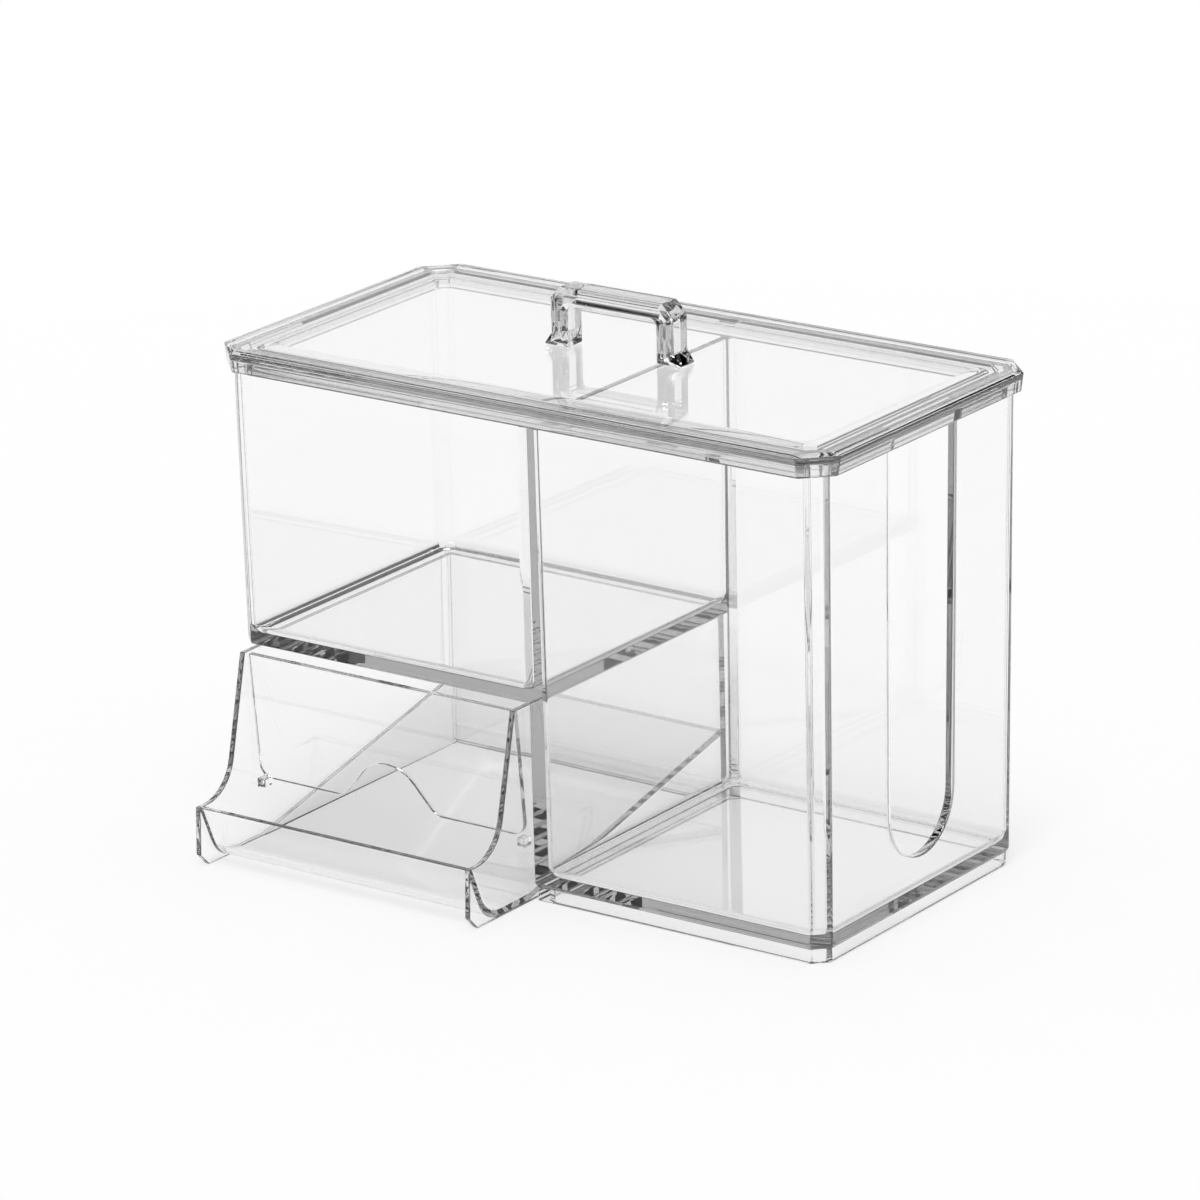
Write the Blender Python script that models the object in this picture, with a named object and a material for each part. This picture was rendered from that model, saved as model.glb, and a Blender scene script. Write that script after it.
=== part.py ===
"""A clear moulded organizer: a tall bin, a raised bin over a pull-out swab drawer, and a lift-off lid with a handle.

The body stands on z = 0 with its long side along X and its front towards -Y. All sizes are in metres.
"""

import math

import bmesh
import bpy

# Body: one moulding, slightly wider at the top so that it leaves its mould
BODY_LENGTH = 0.1714
BODY_DEPTH = 0.0852
BODY_HEIGHT = 0.1238
DRAFT_GROWTH = 0.0013
WALL_TOP = 0.0024
WALL_FOOT = 0.0025
CORNER_CUT_TOP = 0.0042
CORNER_CUT_FOOT = 0.0038
INNER_CORNER_CUT = 0.0020
FLOOR_ROUND = 0.0025

# Divider between the tall bin and the left half
DIVIDER_X = 0.0020
DIVIDER_LEAN = 0.0003
DIVIDER_FOOT = 0.0025
DIVIDER_TOP = 0.0019
DIVIDER_STEP = 0.0043

# Foot ring and floor of the tall bin
RING_HEIGHT = 0.0038
RING_INSET = 0.0005
RING_STEP = 0.0006
RING_WALL = 0.0022
TALL_FLOOR = 0.0024

# Bay for the drawer, and the raised bin above it
BAY_HEIGHT = 0.0506
RAISED_FLOOR = 0.0024

# Finger slot in the right wall
SLOT_TOP_WIDTH = 0.0284
SLOT_FOOT_WIDTH = 0.0272
SLOT_SILL = 0.0152

# Lid: a plate with a skirt outside the body's rim and a plug ring inside it
LID_SKIRT_GAP = 0.0004
LID_SEAT_GAP = 0.0003
LID_PLUG_GAP = 0.00045
LID_SKIRT_TOP = 0.0026
LID_SKIRT_FOOT = 0.00175
LID_END_EXTRA = 0.0003
LID_SKIRT_HEIGHT = 0.0049
LID_EDGE_RISE = 0.00075
LID_BEVEL_ENDS = 0.0028
LID_BEVEL_SIDES = 0.0022
LID_PLATE = 0.0024
LID_PLUG_DEPTH = 0.00425
LID_PLUG_WALL = 0.0024
LID_FILLET = 0.0015
LID_CORNER_CUT = 0.0078
LID_FOOT_CORNER_CUT = 0.0068
LID_TOP_CORNER_CUT = 0.0066

# Handle: a bridge bonded to the lid
HANDLE_LENGTH = 0.0360
HANDLE_DEPTH = 0.0082
HANDLE_HEIGHT = 0.0151
HANDLE_POST = 0.0050
HANDLE_BAR = 0.0048
HANDLE_SHOULDER = 0.0030
HANDLE_EDGE = 0.0012
HANDLE_INNER_ROUND = 0.0012
HANDLE_FLARE = 0.0022
HANDLE_FLARE_HEIGHT = 0.0030
HANDLE_SEAT_GAP = 0.0003

# Drawer: a thin moulding with a scoop in front and a ramp behind
DRAWER_WIDTH = 0.0834
DRAWER_WALL = 0.0015
DRAWER_FLOOR_LIFT = 0.0003
DRAWER_SIDE_GAP = 0.0005
DRAWER_TOP_GAP = 0.0005
DRAWER_REAR_GAP = 0.0003
LIP_REACH = 0.0257
LIP_HEIGHT = 0.0157
LIP_LEAN = 0.0005
LIP_FOOT_CUT = 0.0034
CHEEK_REACH = 0.0056
CHEEK_LEAN = 0.0081
CHEEK_ROUND = 0.0110
SCOOP_ROUND = 0.0091
SCOOP_RUN = 0.0066
RAMP_SETBACK = 0.0010
RAMP_RISE = 0.0183

# Baffle: a leaning plate between the drawer's cheeks
BAFFLE_WALL = 0.0015
BAFFLE_HEIGHT = 0.0330
BAFFLE_LEAN = 0.0030
BAFFLE_TOP_DROP = 0.0004
BAFFLE_TOP_REACH = 0.0038
BAFFLE_SIDE_GAP = 0.0003
BAFFLE_SEAT_GAP = 0.0003
BAFFLE_CORNER = 0.0035
ARCH_WIDTH = 0.0278
ARCH_PEAK = 0.0167
ARCH_TOP_ROUND = 0.0102
ARCH_FOOT_ROUND = 0.0050
REST_REACH = 0.0022
REST_DEPTH = 0.0030
REST_HEIGHT = 0.0022

# How far cutters run past the faces they cut
OVERRUN = 0.0020

ARC_STEPS = 8
SMOOTH_ANGLE = math.radians(30)

CLEAR_COLOUR = (0.93, 0.95, 0.96, 1.0)
CLEAR_ROUGHNESS = 0.04
CLEAR_ALPHA = 0.3
CLEAR_IOR = 1.53

# Heights that several pieces share
TALL_FLOOR_TOP = RING_HEIGHT + TALL_FLOOR
RAISED_FLOOR_TOP = BAY_HEIGHT + RAISED_FLOOR
LID_UNDERSIDE = BODY_HEIGHT + LID_SEAT_GAP
LID_TOP = LID_UNDERSIDE + LID_PLATE

# The front wall's foot, the lid's outer edge, and the shift that puts the origin under the middle of the whole
FRONT_Y = -BODY_DEPTH / 2
LIP_FRONT_Y = FRONT_Y - LIP_REACH
LID_HALF_DEPTH = BODY_DEPTH / 2 + DRAFT_GROWTH + LID_SKIRT_GAP + LID_SKIRT_TOP + LID_END_EXTRA
LID_HALF_LENGTH = BODY_LENGTH / 2 + DRAFT_GROWTH + LID_SKIRT_GAP + LID_SKIRT_TOP
MIDDLE_Y = (LIP_FRONT_Y + LID_HALF_DEPTH) / 2


def rising(foot, top, z):
    """The value at height z of a size that changes evenly from the body's foot to its top."""
    return foot + (top - foot) * z / BODY_HEIGHT


def outer_half(foot, z):
    return rising(foot / 2, foot / 2 + DRAFT_GROWTH, z)


def wall_at(z):
    return rising(WALL_FOOT, WALL_TOP, z)


def divider_left(z):
    return rising(DIVIDER_X, DIVIDER_X + DIVIDER_LEAN, z)


def divider_right(z):
    return divider_left(z) + rising(DIVIDER_FOOT, DIVIDER_TOP, z)


def ring(left, right, front, back, cut, z):
    """A rectangle in plan with its four corners cut off, as eight points at height z."""
    return [
        (right, front + cut, z),
        (right, back - cut, z),
        (right - cut, back, z),
        (left + cut, back, z),
        (left, back - cut, z),
        (left, front + cut, z),
        (left + cut, front, z),
        (right - cut, front, z),
    ]


def even_ring(half_length, half_depth, cut, z):
    return ring(-half_length, half_length, -half_depth, half_depth, cut, z)


def rounded(corners):
    """The outline through corners, each (across, up, radius), with an arc in place of each corner that has a radius."""
    points = []
    for index, (x, y, radius) in enumerate(corners):
        if not radius:
            points.append((x, y))
            continue
        before = corners[index - 1]
        after = corners[(index + 1) % len(corners)]
        into = math.atan2(before[1] - y, before[0] - x)
        out = math.atan2(after[1] - y, after[0] - x)
        opening = (out - into + math.pi) % (2 * math.pi) - math.pi
        middle = into + opening / 2
        reach = radius / math.sin(abs(opening) / 2)
        centre = (x + reach * math.cos(middle), y + reach * math.sin(middle))
        sweep = math.copysign(math.pi - abs(opening), opening)
        start = middle + math.pi + sweep / 2
        for step in range(ARC_STEPS + 1):
            angle = start - sweep * step / ARC_STEPS
            points.append((centre[0] + radius * math.cos(angle), centre[1] + radius * math.sin(angle)))
    return points


def object_from(mesh_maker, name):
    """A new object whose mesh the bmesh in mesh_maker becomes, with its faces turned outwards."""
    bmesh.ops.recalc_face_normals(mesh_maker, faces=mesh_maker.faces)
    mesh = bpy.data.meshes.new(name)
    mesh_maker.to_mesh(mesh)
    mesh_maker.free()
    made = bpy.data.objects.new(name, mesh)
    bpy.context.scene.collection.objects.link(made)
    return made


def fillet_steps(radius):
    """Pairs (in from the wall, up from the floor) along the hollow fillet between a floor and a wall."""
    for step in range(ARC_STEPS + 1):
        angle = math.pi / 2 * step / ARC_STEPS
        yield radius * (1 - math.sin(angle)), radius * (1 - math.cos(angle))


def new_vertices(maker, points):
    return [maker.verts.new(point) for point in points]


def bridge(maker, stack):
    """Walls between each ring of vertices and the next."""
    for lower, upper in zip(stack, stack[1:]):
        for index in range(len(lower)):
            following = (index + 1) % len(lower)
            maker.faces.new((lower[index], lower[following], upper[following], upper[index]))


def loft(name, rings):
    """A closed solid through a stack of rings that have as many points each."""
    maker = bmesh.new()
    stack = [new_vertices(maker, points) for points in rings]
    bridge(maker, stack)
    maker.faces.new(stack[0])
    maker.faces.new(stack[-1])
    return object_from(maker, name)


def along_x(outline, x):
    return [(x, across, up) for across, up in outline]


def along_y(outline, y):
    return [(across, y, up) for across, up in outline]


def chamfered_bar(name, outline, depth, chamfer):
    """An outline in the XZ plane, thickened along Y about y = 0, with its front and back edges chamfered."""
    maker = bmesh.new()
    front = maker.faces.new(new_vertices(maker, along_y(outline, -depth / 2 + chamfer)))
    sides = bmesh.ops.extrude_face_region(maker, geom=[front], use_keep_orig=True)
    back = next(item for item in sides["geom"] if isinstance(item, bmesh.types.BMFace))
    bmesh.ops.translate(maker, verts=back.verts, vec=(0, depth - 2 * chamfer, 0))
    bmesh.ops.recalc_face_normals(maker, faces=maker.faces)
    for face, way in ((front, -1), (back, 1)):
        bmesh.ops.inset_region(maker, faces=[face], thickness=chamfer, use_even_offset=True)
        bmesh.ops.translate(maker, verts=face.verts, vec=(0, way * chamfer, 0))
    return object_from(maker, name)


def use_boolean(target, other, operation):
    """Cut other from target, or join it on, and keep other only as a wire helper."""
    boolean = target.modifiers.new(other.name, "BOOLEAN")
    boolean.operation = operation
    boolean.solver = "EXACT"
    boolean.object = other
    other.hide_render = True
    other.display_type = "WIRE"


def clear_plastic(name):
    material = bpy.data.materials.new(name)
    material.use_nodes = True
    shader = material.node_tree.nodes["Principled BSDF"]
    shader.inputs["Base Color"].default_value = CLEAR_COLOUR
    shader.inputs["Roughness"].default_value = CLEAR_ROUGHNESS
    shader.inputs["Metallic"].default_value = 0
    shader.inputs["IOR"].default_value = CLEAR_IOR
    shader.inputs["Alpha"].default_value = CLEAR_ALPHA
    return material


def finish(piece):
    """Give a piece its own clear plastic, with soft shading on its round stretches only."""
    piece.data.materials.append(clear_plastic(piece.name + "_plastic"))
    piece.data.shade_smooth()
    piece.data.set_sharp_from_angle(angle=SMOOTH_ANGLE)
    return piece


def tall_bin_ring(z, inset):
    return ring(
        divider_right(z) + inset,
        outer_half(BODY_LENGTH, z) - wall_at(z) - inset,
        -outer_half(BODY_DEPTH, z) + wall_at(z) + inset,
        outer_half(BODY_DEPTH, z) - wall_at(z) - inset,
        INNER_CORNER_CUT,
        z,
    )


def raised_bin_ring(z, inset):
    return ring(
        -outer_half(BODY_LENGTH, z) + wall_at(z) + inset,
        divider_left(z) - inset,
        -outer_half(BODY_DEPTH, z) + wall_at(z) + inset,
        outer_half(BODY_DEPTH, z) - wall_at(z) - inset,
        INNER_CORNER_CUT,
        z,
    )


def bins_space():
    """Both bins as one hollow, each with a rounded edge round its floor, joined over the divider and open at the rim."""
    maker = bmesh.new()
    mouths = []
    for bin_ring, floor in ((tall_bin_ring, TALL_FLOOR_TOP), (raised_bin_ring, RAISED_FLOOR_TOP)):
        stack = [new_vertices(maker, bin_ring(floor + up, inset)) for inset, up in fillet_steps(FLOOR_ROUND)]
        stack.append(new_vertices(maker, bin_ring(BODY_HEIGHT - DIVIDER_STEP, 0)))
        bridge(maker, stack)
        maker.faces.new(stack[0])
        mouths.append(stack[-1])
    tall, raised = mouths
    maker.faces.new(raised[7:] + raised[:3] + tall[3:7])
    top = BODY_HEIGHT + OVERRUN
    tall_top, raised_top = tall_bin_ring(top, 0), raised_bin_ring(top, 0)
    rim = new_vertices(maker, tall_top[:4] + raised_top[2:] + tall_top[6:])
    bridge(maker, [tall[:4] + raised[2:] + tall[6:], rim])
    maker.faces.new(rim)
    return object_from(maker, "bins_space")


def bay_space():
    """The drawer's bay: open in front, on the left and below, closed by the back wall and the tall bin's side."""
    rings = []
    step_top = RING_HEIGHT + RING_STEP
    for z, inset in ((-OVERRUN, RING_INSET), (RING_HEIGHT, RING_INSET), (step_top, 0), (BAY_HEIGHT, 0)):
        right = divider_left(z) + inset
        back = outer_half(BODY_DEPTH, z) - wall_at(z) - inset
        left = -outer_half(BODY_LENGTH, z) - OVERRUN - inset
        front = -outer_half(BODY_DEPTH, z) - OVERRUN - inset
        rings.append([(right, front, z), (right, back, z), (left, back, z), (left, front, z)])
    return loft("bay_space", rings)


def foot_recess():
    """The hollow under the tall bin's floor, which leaves the foot ring."""
    inset = RING_INSET + RING_WALL
    rings = []
    for z in (-OVERRUN, RING_HEIGHT):
        rings.append(ring(
            divider_left(z) + inset,
            outer_half(BODY_LENGTH, z) - inset,
            -outer_half(BODY_DEPTH, z) + inset,
            outer_half(BODY_DEPTH, z) - inset,
            INNER_CORNER_CUT,
            z,
        ))
    return loft("foot_recess", rings)


def finger_slot():
    """A tall slot with a half-round foot, through the right wall and open at the rim."""
    radius = SLOT_FOOT_WIDTH / 2
    centre = SLOT_SILL + radius
    top = BODY_HEIGHT + OVERRUN
    outline = [(SLOT_TOP_WIDTH / 2, top), (-SLOT_TOP_WIDTH / 2, top)]
    steps = 3 * ARC_STEPS
    for step in range(steps + 1):
        angle = math.pi * (1 + step / steps)
        outline.append((radius * math.cos(angle), centre + radius * math.sin(angle)))
    inside = outer_half(BODY_LENGTH, 0) - WALL_FOOT - OVERRUN
    outside = outer_half(BODY_LENGTH, BODY_HEIGHT) + OVERRUN
    return loft("finger_slot", [along_x(outline, inside), along_x(outline, outside)])


def body():
    """The organizer's body, a drafted block with its hollows cut out."""
    rings = []
    step_top = RING_HEIGHT + RING_STEP
    for z, inset in ((0, RING_INSET), (RING_HEIGHT, RING_INSET), (step_top, 0), (BODY_HEIGHT, 0)):
        rings.append(even_ring(
            outer_half(BODY_LENGTH, z) - inset,
            outer_half(BODY_DEPTH, z) - inset,
            rising(CORNER_CUT_FOOT, CORNER_CUT_TOP, z),
            z,
        ))
    piece = loft("organizer_body", rings)
    hollows = (bins_space(), bay_space(), foot_recess(), finger_slot())
    for hollow in hollows:
        use_boolean(piece, hollow, "DIFFERENCE")
    return finish(piece), hollows


def lid():
    """The lid: from the plate's underside round the plug ring, the rim's channel and the skirt to the flat top."""
    rim_length = outer_half(BODY_LENGTH, BODY_HEIGHT)
    rim_depth = outer_half(BODY_DEPTH, BODY_HEIGHT)
    plug = WALL_TOP + LID_PLUG_GAP
    hollow = plug + LID_PLUG_WALL
    plug_foot = LID_UNDERSIDE - LID_PLUG_DEPTH
    skirt_foot = LID_TOP - LID_EDGE_RISE - LID_SKIRT_HEIGHT
    skirt = LID_SKIRT_GAP + LID_SKIRT_FOOT
    rings = [
        even_ring(rim_length - hollow - inset, rim_depth - hollow - inset, INNER_CORNER_CUT, LID_UNDERSIDE - down)
        for inset, down in fillet_steps(LID_FILLET)
    ]
    rings += [
        even_ring(rim_length - hollow, rim_depth - hollow, INNER_CORNER_CUT, plug_foot),
        even_ring(rim_length - plug, rim_depth - plug, CORNER_CUT_TOP, plug_foot),
        even_ring(rim_length - plug, rim_depth - plug, CORNER_CUT_TOP, LID_UNDERSIDE),
        even_ring(rim_length + LID_SKIRT_GAP, rim_depth + LID_SKIRT_GAP, CORNER_CUT_TOP, LID_UNDERSIDE),
        even_ring(rim_length + LID_SKIRT_GAP, rim_depth + LID_SKIRT_GAP, CORNER_CUT_TOP, skirt_foot),
        even_ring(rim_length + skirt, rim_depth + skirt + LID_END_EXTRA, LID_FOOT_CORNER_CUT, skirt_foot),
        even_ring(LID_HALF_LENGTH, LID_HALF_DEPTH, LID_CORNER_CUT, LID_TOP - LID_EDGE_RISE),
        even_ring(
            LID_HALF_LENGTH - LID_BEVEL_ENDS, LID_HALF_DEPTH - LID_BEVEL_SIDES, LID_TOP_CORNER_CUT, LID_TOP
        ),
    ]
    return finish(loft("lid", rings))


def lid_handle():
    """The bridge that is bonded to the lid, with its feet spread and its shoulders cut."""
    foot = LID_TOP + HANDLE_SEAT_GAP
    top = foot + HANDLE_HEIGHT
    half = HANDLE_LENGTH / 2
    opening = half - HANDLE_POST
    spread = half + HANDLE_FLARE
    bar_foot = top - HANDLE_BAR
    outline = rounded([
        (-spread, foot, 0),
        (-opening, foot, 0),
        (-opening, bar_foot, HANDLE_INNER_ROUND),
        (opening, bar_foot, HANDLE_INNER_ROUND),
        (opening, foot, 0),
        (spread, foot, 0),
        (half, foot + HANDLE_FLARE_HEIGHT, 0),
        (half, top - HANDLE_SHOULDER, 0),
        (half - HANDLE_SHOULDER, top, 0),
        (-half + HANDLE_SHOULDER, top, 0),
        (-half, top - HANDLE_SHOULDER, 0),
        (-half, foot + HANDLE_FLARE_HEIGHT, 0),
    ])
    return finish(chamfered_bar("lid_handle", outline, HANDLE_DEPTH, HANDLE_EDGE))


# The drawer's own places, worked out from the body's bay
DRAWER_RIGHT = DIVIDER_X - DRAWER_SIDE_GAP
DRAWER_LEFT = DRAWER_RIGHT - DRAWER_WIDTH
DRAWER_TOP = BAY_HEIGHT - DRAWER_TOP_GAP
DRAWER_BACK = BODY_DEPTH / 2 - WALL_FOOT - RING_INSET - DRAWER_REAR_GAP
RAMP_START = FRONT_Y - RAMP_SETBACK
DRAWER_FLOOR = DRAWER_FLOOR_LIFT + DRAWER_WALL


def drawer_sheet(inner_back, thickness):
    """One face of the drawer's bent sheet, from over the lip to the back wall, thickness below its upper face.

    The sheet runs down the scoop, along a short floor and up the ramp.
    """
    scoop_slope = SCOOP_RUN / LIP_HEIGHT
    lip = LIP_FRONT_Y + LIP_LEAN + (DRAWER_WALL - thickness) * math.hypot(1, scoop_slope)
    floor = DRAWER_FLOOR - thickness
    ramp_slope = RAMP_RISE / (inner_back - RAMP_START)
    ramp_drop = thickness * math.hypot(1, ramp_slope)
    ramp_foot = RAMP_START + (ramp_drop - thickness) / ramp_slope
    return [
        (lip - scoop_slope * OVERRUN, LIP_HEIGHT + OVERRUN, 0),
        (lip + scoop_slope * (LIP_HEIGHT - floor), floor, SCOOP_ROUND - DRAWER_WALL + thickness),
        (ramp_foot, floor, 0),
        (inner_back, DRAWER_FLOOR + RAMP_RISE - ramp_drop, 0),
    ]


def swab_drawer():
    """The drawer: two cheeks, a bent sheet between them, a back wall, and the rests for the baffle."""
    cheek_top = FRONT_Y - CHEEK_REACH
    cheek = rounded([
        (DRAWER_BACK, 0, 0),
        (DRAWER_BACK, DRAWER_TOP, 0),
        (cheek_top, DRAWER_TOP, 0),
        (cheek_top - CHEEK_LEAN, LIP_HEIGHT, CHEEK_ROUND),
        (LIP_FRONT_Y + LIP_LEAN, LIP_HEIGHT, 0),
        (LIP_FRONT_Y, LIP_FOOT_CUT, 0),
        (LIP_FRONT_Y + LIP_FOOT_CUT, 0, 0),
    ])
    piece = loft("swab_drawer", [along_x(cheek, DRAWER_LEFT), along_x(cheek, DRAWER_RIGHT)])
    inner_left = DRAWER_LEFT + DRAWER_WALL
    inner_right = DRAWER_RIGHT - DRAWER_WALL
    inner_back = DRAWER_BACK - DRAWER_WALL
    over = DRAWER_TOP + OVERRUN
    upper = rounded([*drawer_sheet(inner_back, 0), (inner_back, over, 0), (LIP_FRONT_Y, over, 0)])
    before = LIP_FRONT_Y - OVERRUN
    lower = rounded([
        *drawer_sheet(inner_back, DRAWER_WALL),
        (inner_back, -OVERRUN, 0),
        (before, -OVERRUN, 0),
        (before, LIP_HEIGHT + OVERRUN, 0),
    ])
    hollows = (
        loft("drawer_space", [along_x(upper, inner_left), along_x(upper, inner_right)]),
        loft("under_sheet_space", [along_x(lower, inner_left), along_x(lower, inner_right)]),
    )
    for hollow in hollows:
        use_boolean(piece, hollow, "DIFFERENCE")
    rests = tuple(baffle_rest(side, cheek_face) for side, cheek_face in ((1, inner_left), (-1, inner_right)))
    for rest in rests:
        use_boolean(piece, rest, "UNION")
    return finish(piece), hollows + rests


BAFFLE_FOOT = DRAWER_TOP - BAFFLE_TOP_DROP - BAFFLE_HEIGHT
BAFFLE_FOOT_Y = FRONT_Y - BAFFLE_TOP_REACH + BAFFLE_LEAN


def baffle_rest(side, cheek_face):
    """A stub on a cheek's inner face, under the baffle's corner; side is the way that it reaches in."""
    top = BAFFLE_FOOT - BAFFLE_SEAT_GAP
    front = BAFFLE_FOOT_Y - REST_DEPTH / 2
    back = BAFFLE_FOOT_Y + REST_DEPTH / 2
    outline = [(front, top), (back, top), (back, top - REST_HEIGHT), (front, top - REST_HEIGHT)]
    near = cheek_face - side * DRAWER_WALL / 2
    far = cheek_face + side * REST_REACH
    name = "baffle_rest_left" if side > 0 else "baffle_rest_right"
    return loft(name, [along_x(outline, near), along_x(outline, far)])


def drawer_baffle():
    """The plate that holds the swabs back, with rounded lower corners and an arch for a fingertip."""
    half = DRAWER_WIDTH / 2 - DRAWER_WALL - BAFFLE_SIDE_GAP
    outline = rounded([
        (-half, 0, BAFFLE_CORNER),
        (-ARCH_WIDTH / 2, 0, ARCH_FOOT_ROUND),
        (0, ARCH_PEAK, ARCH_TOP_ROUND),
        (ARCH_WIDTH / 2, 0, ARCH_FOOT_ROUND),
        (half, 0, BAFFLE_CORNER),
        (half, BAFFLE_HEIGHT, 0),
        (-half, BAFFLE_HEIGHT, 0),
    ])
    piece = loft("drawer_baffle", [along_y(outline, -BAFFLE_WALL / 2), along_y(outline, BAFFLE_WALL / 2)])
    piece.location = ((DRAWER_LEFT + DRAWER_RIGHT) / 2, BAFFLE_FOOT_Y, BAFFLE_FOOT)
    piece.rotation_euler.x = math.atan2(BAFFLE_LEAN, BAFFLE_HEIGHT)
    return finish(piece)


def set_origin(piece, place):
    """Move a piece's origin to a place without moving the piece."""
    for vertex in piece.data.vertices:
        vertex.co.x -= place[0]
        vertex.co.y -= place[1]
        vertex.co.z -= place[2]
    piece.location = place


def main():
    for old in list(bpy.data.objects):
        bpy.data.objects.remove(old)
    middle = bpy.data.objects.new("organizer_middle", None)
    bpy.context.scene.collection.objects.link(middle)
    middle.location = (0, -MIDDLE_Y, 0)
    body_piece, body_hollows = body()
    drawer_piece, drawer_helpers = swab_drawer()
    baffle_piece = drawer_baffle()
    lid_piece = lid()
    handle_piece = lid_handle()
    set_origin(lid_piece, (0, 0, BODY_HEIGHT))
    set_origin(drawer_piece, ((DRAWER_LEFT + DRAWER_RIGHT) / 2, DRAWER_BACK, 0))
    for piece in (body_piece, drawer_piece, lid_piece, *body_hollows, *drawer_helpers):
        piece.parent = middle
    for piece, carrier in ((baffle_piece, drawer_piece), (handle_piece, lid_piece)):
        place = piece.location.copy()
        piece.parent = carrier
        piece.location = place - carrier.location


main()
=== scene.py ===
# %% [markdown]
# A clear organizer for cotton pads and swabs, dressed and lit.
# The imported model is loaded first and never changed. It gives every piece its place and its real size, in
# metres, with +Z up and the front towards -Y. The object could be drawn again here, but then the two would
# drift apart with the first change, so each visible piece below starts from its own solid. The box of the
# bare model is kept, so that the dressed one can be set against it.

# %% Load the frame
import math

import bmesh
import bpy
from mathutils import Matrix, Vector


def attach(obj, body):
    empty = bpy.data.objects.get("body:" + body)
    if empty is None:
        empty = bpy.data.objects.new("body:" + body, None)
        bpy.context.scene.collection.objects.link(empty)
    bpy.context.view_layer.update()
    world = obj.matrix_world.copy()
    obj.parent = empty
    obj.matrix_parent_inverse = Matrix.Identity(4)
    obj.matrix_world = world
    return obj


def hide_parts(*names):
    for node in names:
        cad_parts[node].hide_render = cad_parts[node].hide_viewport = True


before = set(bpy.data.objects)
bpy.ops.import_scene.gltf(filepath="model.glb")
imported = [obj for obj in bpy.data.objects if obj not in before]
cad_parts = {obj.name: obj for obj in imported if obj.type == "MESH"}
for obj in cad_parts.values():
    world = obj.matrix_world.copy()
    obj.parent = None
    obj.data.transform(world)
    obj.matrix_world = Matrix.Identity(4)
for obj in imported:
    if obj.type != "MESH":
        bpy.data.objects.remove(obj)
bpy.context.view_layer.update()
scene = bpy.context.scene
print("pieces of the frame:", sorted(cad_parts))

# %% [markdown]
# The camera stands in front and to the right, a little above the lid, and looks through a long lens, so
# that the box keeps nearly parallel edges. It could be set by eye. Fitting its place and three angles to
# the outline of the real object takes longer, but then every line can be compared, and what still differs
# is the shape.

# %% Camera
CAMERA_PLACE = Vector((0.93129, -1.28868, 0.59619))
CAMERA_AZIMUTH = math.radians(-35.8473)
CAMERA_ELEVATION = math.radians(18.4058)
CAMERA_ROLL = math.radians(-1.3069)
CAMERA_LENS = 207.723
CAMERA_SENSOR = 36
CAMERA_REACH = 20


def make_camera():
    """The scene's camera, turned by azimuth, then elevation, then roll."""
    forward = Vector((
        math.sin(CAMERA_AZIMUTH) * math.cos(CAMERA_ELEVATION),
        math.cos(CAMERA_AZIMUTH) * math.cos(CAMERA_ELEVATION),
        -math.sin(CAMERA_ELEVATION),
    ))
    level = Vector((math.cos(CAMERA_AZIMUTH), -math.sin(CAMERA_AZIMUTH), 0))
    above = level.cross(forward)
    right = math.cos(CAMERA_ROLL) * level + math.sin(CAMERA_ROLL) * above
    up = -math.sin(CAMERA_ROLL) * level + math.cos(CAMERA_ROLL) * above
    data = bpy.data.cameras.new("camera")
    data.lens = CAMERA_LENS
    data.sensor_width = CAMERA_SENSOR
    data.clip_end = CAMERA_REACH
    camera = bpy.data.objects.new("camera", data)
    scene.collection.objects.link(camera)
    turn = Matrix((right, up, -forward)).transposed().to_4x4()
    camera.matrix_world = Matrix.Translation(CAMERA_PLACE) @ turn
    scene.camera = camera
    return camera


camera = make_camera()
print("camera at", [round(value, 3) for value in camera.location])

# %% [markdown]
# A polished moulding isn't quite even. The mould leaves a faint ripple, and handling leaves a trace of
# smear that softens the gloss here and there. Both could be painted on a picture, but noise that is worked
# out at each point stays sharp from any distance and needs no unwrapping. It sits in one group with sockets
# of its own, so that it is written once and each piece can read it at its own scale.

# %% Shared mould surface group
RIPPLE_DETAIL = 2
SMEAR_SCALE = 60.0
SMEAR_DETAIL = 5
SMEAR_POWER = 4


def math_node(tree, operation, first, second):
    """The result of one step of arithmetic on two numbers or sockets."""
    node = tree.nodes.new("ShaderNodeMath")
    node.operation = operation
    for socket, value in zip(node.inputs, (first, second)):
        if isinstance(value, (int, float)):
            socket.default_value = value
        else:
            tree.links.new(value, socket)
    return node.outputs[0]


def noise_node(tree, place, scale, detail):
    """Soft noise from 0 to 1 at a place."""
    node = tree.nodes.new("ShaderNodeTexNoise")
    node.inputs["Detail"].default_value = detail
    tree.links.new(place, node.inputs["Vector"])
    tree.links.new(scale, node.inputs["Scale"])
    return node.outputs["Fac"]


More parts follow.
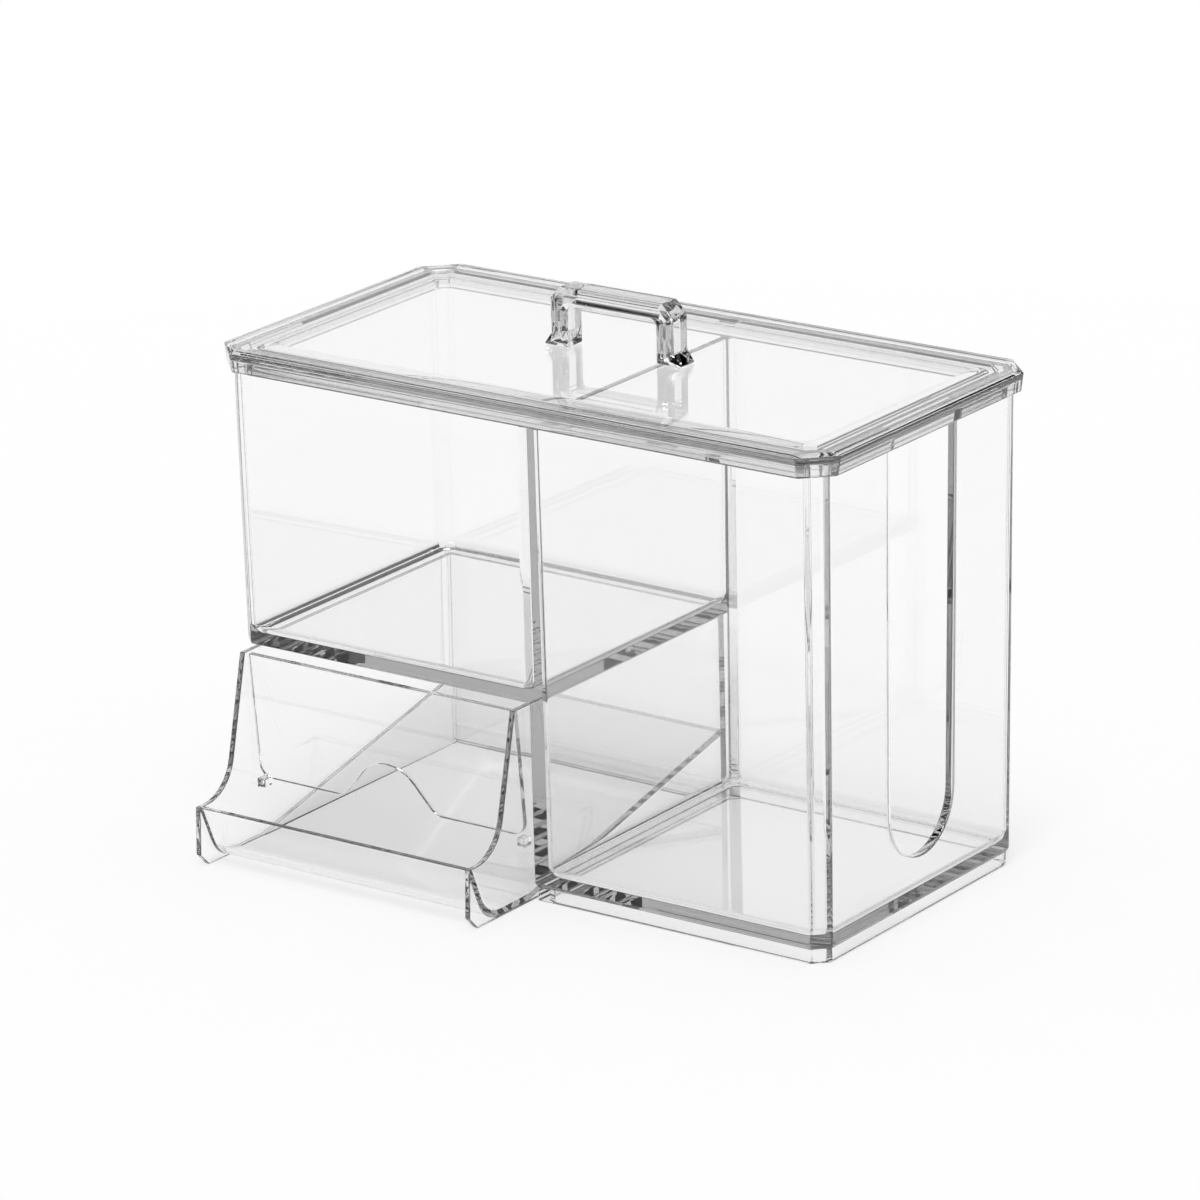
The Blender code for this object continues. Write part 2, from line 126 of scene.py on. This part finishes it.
def mould_surface_group():
    """Ripple height and roughness of a polished moulding, from a point on it."""
    tree = bpy.data.node_groups.new("mould_surface", "ShaderNodeTree")
    sockets = (
        ("Point", "INPUT", "NodeSocketVector", None),
        ("Ripple Scale", "INPUT", "NodeSocketFloat", None),
        ("Smear Scale", "INPUT", "NodeSocketFloat", SMEAR_SCALE),
        ("Most Roughness", "INPUT", "NodeSocketFloat", None),
        ("Ripple", "OUTPUT", "NodeSocketFloat", None),
        ("Roughness", "OUTPUT", "NodeSocketFloat", None),
    )
    for name, way, kind, value in sockets:
        socket = tree.interface.new_socket(name=name, in_out=way, socket_type=kind)
        if value is not None:
            socket.default_value = value
    given = tree.nodes.new("NodeGroupInput")
    result = tree.nodes.new("NodeGroupOutput")
    ripple = noise_node(tree, given.outputs["Point"], given.outputs["Ripple Scale"], RIPPLE_DETAIL)
    smear = noise_node(tree, given.outputs["Point"], given.outputs["Smear Scale"], SMEAR_DETAIL)
    smear_share = math_node(tree, "POWER", smear, SMEAR_POWER)
    rough = math_node(tree, "MULTIPLY", smear_share, given.outputs["Most Roughness"])
    tree.links.new(ripple, result.inputs["Ripple"])
    tree.links.new(rough, result.inputs["Roughness"])
    return tree


mould_surface = mould_surface_group()
print("group sockets:", [item.name for item in mould_surface.interface.items_tree])

# %% [markdown]
# Every moulding gets its own clear plastic. Its refraction lies between those of acrylic and polystyrene,
# the usual plastics for such boxes, and it has a faint grey that only tells over a long way. A grey colour
# on the surface would tint thin and thick parts alike. Absorption inside the solid doesn't: a wall takes
# almost nothing from the light, while light that runs inside a plate from edge to edge comes out grey,
# which is why the ends of clear plates look dark. Lamps and soft light also have to reach the ground
# through the box, and a glass shader alone would give it a black shadow. A transparent shader stands in for
# those rays, and it holds back more where they graze a wall.

# %% Clear plastic
PLASTIC_IOR = 1.55
PLASTIC_COLOUR = (1, 1, 1, 1)
INNER_COLOUR = (0, 0, 0, 1)
RIPPLE_HEIGHT = 0.00001
MOST_ROUGHNESS = 0.02
SHADOW_EDGE_POWER = 8


def clear_plastic(name, ripple_scale, inner_density, lets_through):
    """A clear plastic with a grey that grows with the way inside it, and a stand-in for lamp light."""
    material = bpy.data.materials.new(name)
    material.use_nodes = True
    tree = material.node_tree
    shader = tree.nodes["Principled BSDF"]
    shader.inputs["Base Color"].default_value = PLASTIC_COLOUR
    shader.inputs["Metallic"].default_value = 0
    shader.inputs["IOR"].default_value = PLASTIC_IOR
    shader.inputs["Transmission Weight"].default_value = 1
    point = tree.nodes.new("ShaderNodeTexCoord").outputs["Object"]
    group = tree.nodes.new("ShaderNodeGroup")
    group.node_tree = mould_surface
    tree.links.new(point, group.inputs["Point"])
    group.inputs["Ripple Scale"].default_value = ripple_scale
    group.inputs["Most Roughness"].default_value = MOST_ROUGHNESS
    tree.links.new(group.outputs["Roughness"], shader.inputs["Roughness"])
    bump = tree.nodes.new("ShaderNodeBump")
    bump.inputs["Strength"].default_value = 1
    bump.inputs["Distance"].default_value = RIPPLE_HEIGHT
    tree.links.new(group.outputs["Ripple"], bump.inputs["Height"])
    tree.links.new(bump.outputs["Normal"], shader.inputs["Normal"])
    path = tree.nodes.new("ShaderNodeLightPath")
    through = tree.nodes.new("ShaderNodeBsdfTransparent")
    facing = tree.nodes.new("ShaderNodeLayerWeight").outputs["Facing"]
    held_back = math_node(tree, "POWER", facing, SHADOW_EDGE_POWER)
    kept = math_node(tree, "SUBTRACT", 1, held_back)
    kept = math_node(tree, "MULTIPLY", kept, lets_through)
    tree.links.new(kept, through.inputs["Color"])
    surface = shader.outputs["BSDF"]
    for kind in ("Is Shadow Ray", "Is Diffuse Ray"):
        mix = tree.nodes.new("ShaderNodeMixShader")
        tree.links.new(path.outputs[kind], mix.inputs["Fac"])
        tree.links.new(surface, mix.inputs[1])
        tree.links.new(through.outputs["BSDF"], mix.inputs[2])
        surface = mix.outputs["Shader"]
    inside = tree.nodes.new("ShaderNodeVolumeAbsorption")
    inside.inputs["Color"].default_value = INNER_COLOUR
    inside.inputs["Density"].default_value = inner_density
    tree.links.new(surface, tree.nodes["Material Output"].inputs["Surface"])
    tree.links.new(inside.outputs["Volume"], tree.nodes["Material Output"].inputs["Volume"])
    return material


# %% [markdown]
# Under the lid's plate, where it meets the plug ring, the moulding has a wide hollow fillet. Light that
# enters the plate over it is thrown sideways, so it shows from above as a soft band along the far sides.
# The band could be faked with a darker strip of colour, but only real curvature moves with the eye. The
# model has the same fillet at a smaller radius, which leaves the space under the lid clear for the fit of
# its contents. So its vertices are only moved here: each keeps its angle round the fillet, and the radius
# grows to the size that the band shows.

# %% Fillet under the lid
LID_MIDDLE_Y = 0.01055
PLUG_INNER_HALF_LENGTH = 0.08175
PLUG_INNER_HALF_DEPTH = 0.03865
LID_UNDERSIDE = 0.1241
MODEL_FILLET = 0.0015
MOULDED_FILLET = 0.0038
NEARLY = 0.00001


def widen_fillet(maker):
    """Grow the fillet between the lid's plate and its plug ring, and print how many vertices moved."""
    growth = MOULDED_FILLET / MODEL_FILLET - 1
    moved = 0
    for vertex in maker.verts:
        x = vertex.co.x
        y = vertex.co.y - LID_MIDDLE_Y
        down = LID_UNDERSIDE - vertex.co.z
        inside = abs(x) < PLUG_INNER_HALF_LENGTH + NEARLY and abs(y) < PLUG_INNER_HALF_DEPTH + NEARLY
        if not inside or not -NEARLY < down < MODEL_FILLET + NEARLY:
            continue
        turned = math.acos(min(max(1 - down / MODEL_FILLET, 0), 1))
        inset = MODEL_FILLET * (1 - math.sin(turned))
        vertex.co.x -= math.copysign(inset * growth, x)
        vertex.co.y -= math.copysign(inset * growth, y)
        vertex.co.z -= down * growth
        moved += 1
    print("fillet vertices moved:", moved)


# %% [markdown]
# The real mouldings have no truly sharp edge: each carries a tiny round from the mould, and that round
# draws the crisp line by which clear plastic is seen at all. So each piece starts from its own solid in the
# frame, merged and cleaned of the triangles across flat faces, because a bevel needs whole faces to run
# along. The rounds could be modelled one by one, but a bevel modifier does all edges over a chosen angle
# and can still be changed. Smooth shading would bend the flat faces towards their rounds, and clear plastic
# shows a bent normal as a lens. Weighted normals prevent that by letting the largest face at each corner
# decide.

# %% Pieces with soft edges
EDGE_SEGMENTS = 3
EDGE_ANGLE = math.radians(25)
SHARP_ANGLE = math.radians(40)
FLAT_ANGLE = math.radians(0.6)
SAME_POINT = 1e-6
FLAT_FACE_WEIGHT = 100
PIECES = (
    # node, body, edge radius, ripple scale, density inside, share of lamp light let through
    ("organizer_body", "organizer", 0.0005, 25, 9.5, 0.998),
    ("swab_drawer", "drawer", 0.0003, 30, 9.5, 0.985),
    ("drawer_baffle", "drawer", 0.0002, 30, 9.5, 0.998),
    ("lid", "lid_assembly", 0.0003, 25, 8.0, 0.975),
    ("lid_handle", "lid_assembly", 0.00025, 40, 12.0, 0.98),
)


def soft_edged(node, body, radius, material):
    """A copy of a node's solid with flat faces made whole and its edges rounded by radius."""
    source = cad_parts[node]
    maker = bmesh.new()
    maker.from_mesh(source.data)
    bmesh.ops.remove_doubles(maker, verts=maker.verts, dist=SAME_POINT)
    if node == "lid":
        widen_fillet(maker)
    bmesh.ops.dissolve_limit(maker, angle_limit=FLAT_ANGLE, verts=maker.verts, edges=maker.edges)
    mesh = bpy.data.meshes.new(node + "_clear")
    maker.to_mesh(mesh)
    maker.free()
    piece = bpy.data.objects.new(node + "_clear", mesh)
    scene.collection.objects.link(piece)
    mesh.materials.append(material)
    bevel = piece.modifiers.new("edge_round", "BEVEL")
    bevel.width = radius
    bevel.segments = EDGE_SEGMENTS
    bevel.limit_method = "ANGLE"
    bevel.angle_limit = EDGE_ANGLE
    bevel.harden_normals = False
    mesh.shade_smooth()
    mesh.set_sharp_from_angle(angle=SHARP_ANGLE)
    weighted = piece.modifiers.new("flat_faces", "WEIGHTED_NORMAL")
    weighted.keep_sharp = True
    weighted.weight = FLAT_FACE_WEIGHT
    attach(piece, body)
    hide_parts(node)
    print(piece.name, "faces before its edges are rounded:", len(mesh.polygons))


for node, body, radius, ripple_scale, inner_density, lets_through in PIECES:
    plastic = clear_plastic(node + "_plastic", ripple_scale, inner_density, lets_through)
    soft_edged(node, body, radius, plastic)

# %% [markdown]
# Clear plastic shows nothing but its surroundings, so the studio round it matters as much as its own
# surface. The object stands on a white sheet that rises behind it. The room past the sheet is dark, as with
# black cards round glass on a product table, and what the edges throw sideways ends there, which draws
# them. Flat walls show the sheet itself, straight or mirrored. A grey card stands low on the viewer's side,
# so that the lid isn't black from behind, where it mirrors that side. Sheets and cards could be real planes
# round the object. Painting them on the sky with a few nodes keeps them out of the way of the camera and
# the lamp. The nodes below tell the sheets from the room, and what is seen from what only lights.

# %% Surroundings
BACKDROP_TOWARDS = (-0.585, 0.811, 0)
CARD_TOWARDS = (0.66, -0.75, 0)
SHEET_START = 0.80
SHEET_FULL = 0.92


def mapped(tree, value, start, full):
    """0 up to start and 1 from full on, with a soft step between."""
    node = tree.nodes.new("ShaderNodeMapRange")
    node.interpolation_type = "SMOOTHSTEP"
    node.inputs["From Min"].default_value = start
    node.inputs["From Max"].default_value = full
    tree.links.new(value, node.inputs["Value"])
    return node.outputs["Result"]


def sheet_share(tree, direction, towards):
    """1 in the part of the surroundings that a sheet standing that way fills, and 0 elsewhere."""
    whole = tree.nodes.new("ShaderNodeVectorMath")
    whole.operation = "NORMALIZE"
    tree.links.new(direction, whole.inputs[0])
    dot = tree.nodes.new("ShaderNodeVectorMath")
    dot.operation = "DOT_PRODUCT"
    tree.links.new(whole.outputs["Vector"], dot.inputs[0])
    dot.inputs[1].default_value = towards
    return mapped(tree, dot.outputs["Value"], SHEET_START, SHEET_FULL)


def seen_directly(tree):
    """1 for rays from the camera, off a mirror or through glass, and 0 for the rest."""
    path = tree.nodes.new("ShaderNodeLightPath")
    seen = math_node(tree, "ADD", path.outputs["Is Camera Ray"], path.outputs["Is Transmission Ray"])
    seen = math_node(tree, "ADD", seen, path.outputs["Is Glossy Ray"])
    return math_node(tree, "MINIMUM", seen, 1)


def choose(tree, factor, first, second):
    """first where factor is 0 and second where it is 1."""
    node = tree.nodes.new("ShaderNodeMix")
    node.data_type = "RGBA"
    tree.links.new(factor, node.inputs["Factor"])
    for name, value in (("A", first), ("B", second)):
        if isinstance(value, tuple):
            node.inputs[name].default_value = value
        else:
            tree.links.new(value, node.inputs[name])
    return node.outputs["Result"]


# %% [markdown]
# The floor is the lying part of that white sheet, a round as wide as a product table, so that it ends
# before it fills the edges' view with white. More lamp light would whiten it too, but would wash out the
# object. A little glow of its own, seen but lighting nothing, keeps it white, and its grey comes only from
# the shadow that the object keeps on it.

# %% Floor
FLOOR_REACH = 0.52
FLOOR_SEGMENTS = 96
FLOOR_COLOUR = (0.8, 0.8, 0.8, 1)
FLOOR_GLOW = 0.3


def make_floor():
    """A matt white disc with a glow that is seen but lights nothing."""
    maker = bmesh.new()
    bmesh.ops.create_circle(maker, cap_ends=True, segments=FLOOR_SEGMENTS, radius=FLOOR_REACH)
    mesh = bpy.data.meshes.new("floor")
    maker.to_mesh(mesh)
    maker.free()
    floor = bpy.data.objects.new("floor", mesh)
    scene.collection.objects.link(floor)
    material = bpy.data.materials.new("floor_white")
    material.use_nodes = True
    tree = material.node_tree
    tree.nodes.remove(tree.nodes["Principled BSDF"])
    matt = tree.nodes.new("ShaderNodeBsdfDiffuse")
    matt.inputs["Color"].default_value = FLOOR_COLOUR
    glow = tree.nodes.new("ShaderNodeEmission")
    strength = math_node(tree, "MULTIPLY", seen_directly(tree), FLOOR_GLOW)
    tree.links.new(strength, glow.inputs["Strength"])
    both = tree.nodes.new("ShaderNodeAddShader")
    tree.links.new(matt.outputs["BSDF"], both.inputs[0])
    tree.links.new(glow.outputs["Emission"], both.inputs[1])
    tree.links.new(both.outputs["Shader"], tree.nodes["Material Output"].inputs["Surface"])
    mesh.materials.append(material)
    print("floor reaches", FLOOR_REACH, "m from the middle")


make_floor()

# %% [markdown]
# Behind the object the room is white up to the top of the sheet, and beyond it and overhead it is dark.
# Grey ramps along the height give each side its own fall of tone, which is easier to tune than a picture of
# a studio. The light that falls on the floor from all round is one even grey, and the camera itself sees
# plain white.

# %% World
WHITE = (1, 1, 1, 1)
SHEET_STOPS = ((0.0, 1.0), (0.2, 0.97), (0.36, 0.93), (0.42, 0.02), (1.0, 0.0))
CARD_STOPS = ((0.0, 0.9), (0.02, 0.12), (0.2, 0.45), (0.28, 0.55), (0.31, 0.02), (1.0, 0.0))
SIDE_STOPS = ((0.0, 0.02), (0.05, 0.01), (0.3, 0.0), (1.0, 0.0))
ROOM_GREY = (0.5, 0.5, 0.5, 1)


def grey_ramp(tree, value, stops):
    """Grey steps along value, each stop (place, grey)."""
    node = tree.nodes.new("ShaderNodeValToRGB")
    tree.links.new(value, node.inputs["Fac"])
    steps = node.color_ramp.elements
    for place, _ in stops[2:]:
        steps.new(place)
    for step, (place, grey) in zip(steps, stops):
        step.position = place
        step.color = (grey, grey, grey, 1)
    return node.outputs["Color"]


def make_world():
    """The room: a white sheet behind, a grey card in front, dark sides, and plain white for the camera."""
    world = bpy.data.worlds.new("studio")
    scene.world = world
    world.use_nodes = True
    tree = world.node_tree
    background = tree.nodes["Background"]
    direction = tree.nodes.new("ShaderNodeTexCoord").outputs["Generated"]
    parts = tree.nodes.new("ShaderNodeSeparateXYZ")
    tree.links.new(direction, parts.inputs["Vector"])
    height = parts.outputs["Z"]
    sheet = grey_ramp(tree, height, SHEET_STOPS)
    sides = grey_ramp(tree, height, SIDE_STOPS)
    card = grey_ramp(tree, height, CARD_STOPS)
    studio = choose(tree, sheet_share(tree, direction, CARD_TOWARDS), sides, card)
    studio = choose(tree, sheet_share(tree, direction, BACKDROP_TOWARDS), studio, sheet)
    colour = choose(tree, seen_directly(tree), ROOM_GREY, studio)
    path = tree.nodes.new("ShaderNodeLightPath")
    colour = choose(tree, path.outputs["Is Camera Ray"], colour, WHITE)
    tree.links.new(colour, background.inputs["Color"])
    background.inputs["Strength"].default_value = 1
    print("nodes in the world:", len(tree.nodes))


make_world()

# %% [markdown]
# One wide soft lamp hangs high in front and a little to the right, so that the object's shadow falls short
# and soft behind it, to the left. Several small lamps would give as much light, but each would draw its own
# shadow of every wall.

# %% Lamps
SUN_STRENGTH = 1.25
SUN_SPREAD = math.radians(25)
SUN_FROM = Vector((0.25, -0.4, 1.15))


def soft_sun(name, come_from, strength, spread):
    """A wide sun that shines from a place towards the middle of the floor."""
    data = bpy.data.lights.new(name, "SUN")
    data.energy = strength
    data.angle = spread
    lamp = bpy.data.objects.new(name, data)
    lamp.location = come_from
    lamp.rotation_euler = (-come_from).to_track_quat("-Z", "Y").to_euler()
    scene.collection.objects.link(lamp)
    print(name, "spreads over", round(math.degrees(spread)), "degrees")


soft_sun("key_lamp", SUN_FROM, SUN_STRENGTH, SUN_SPREAD)

# %% [markdown]
# Light has to pass many thin walls before it leaves the box, and a ray caught inside a plate turns at its
# faces over a hundred times. Where the count runs out the ray ends black, as a false dark line, so the
# paths may be long here. Caustics would take far more samples to come out clean, and the stand-in for lamp
# light makes up for them.

# %% Light paths and colours
PLASTIC_BOUNCES = 160
STAND_IN_BOUNCES = 64
scene.cycles.max_bounces = PLASTIC_BOUNCES
scene.cycles.transmission_bounces = PLASTIC_BOUNCES
scene.cycles.glossy_bounces = PLASTIC_BOUNCES
scene.cycles.transparent_max_bounces = STAND_IN_BOUNCES
scene.cycles.caustics_reflective = False
scene.cycles.caustics_refractive = False
scene.view_settings.view_transform = "Standard"
print("view transform:", scene.view_settings.view_transform)
